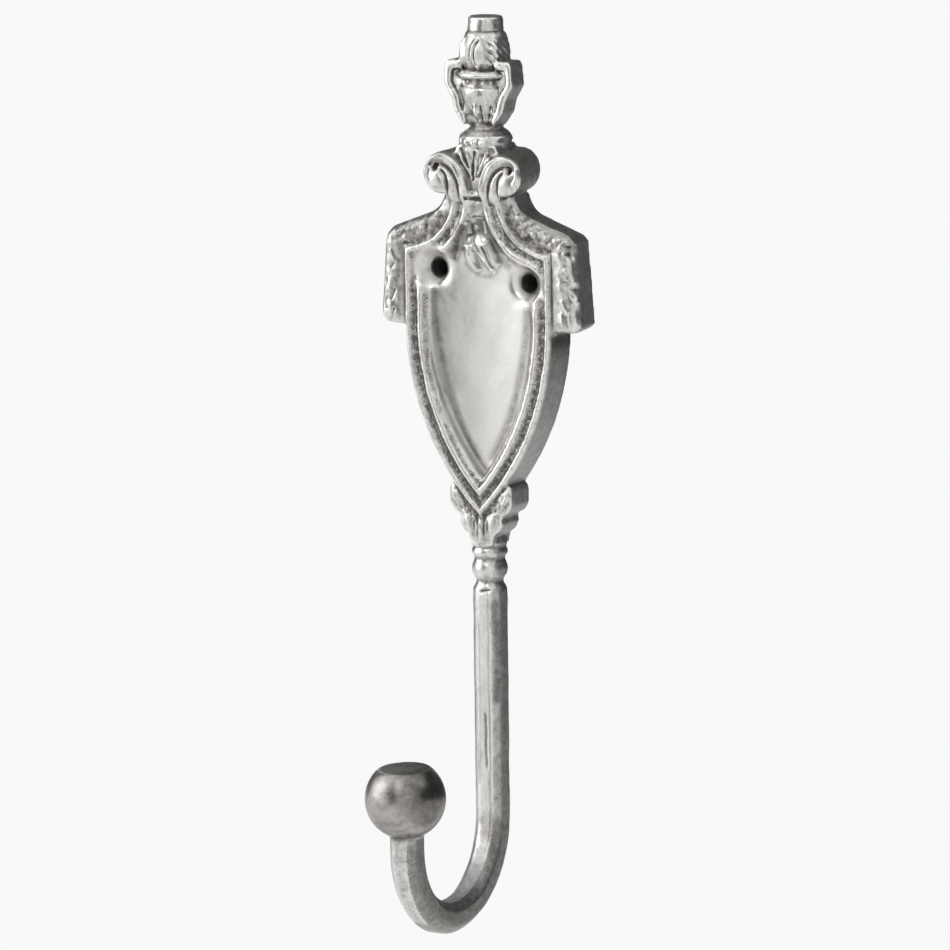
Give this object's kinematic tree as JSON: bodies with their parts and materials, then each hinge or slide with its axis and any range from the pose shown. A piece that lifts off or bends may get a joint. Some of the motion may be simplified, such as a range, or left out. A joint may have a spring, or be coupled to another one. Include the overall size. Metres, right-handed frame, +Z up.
{
  "type": "wall hook",
  "caption": "Cast wall hook in antique silver: framed shield with hanging drops, two volutes, an urn finial and a ball-tipped hook.",
  "frame": {"origin": "on the wall plane, on the back face, midway between the two screw holes", "axes": "+Z up the wall, +Y into the wall, the hook reaching out along -Y"},
  "size_m": [0.0558, 0.0578, 0.2223],
  "materials": {
    "antique_silver": "brushed"
  },
  "bodies": {
    "root": {"hook_casting": "antique_silver"}
  },
  "joints": []
}
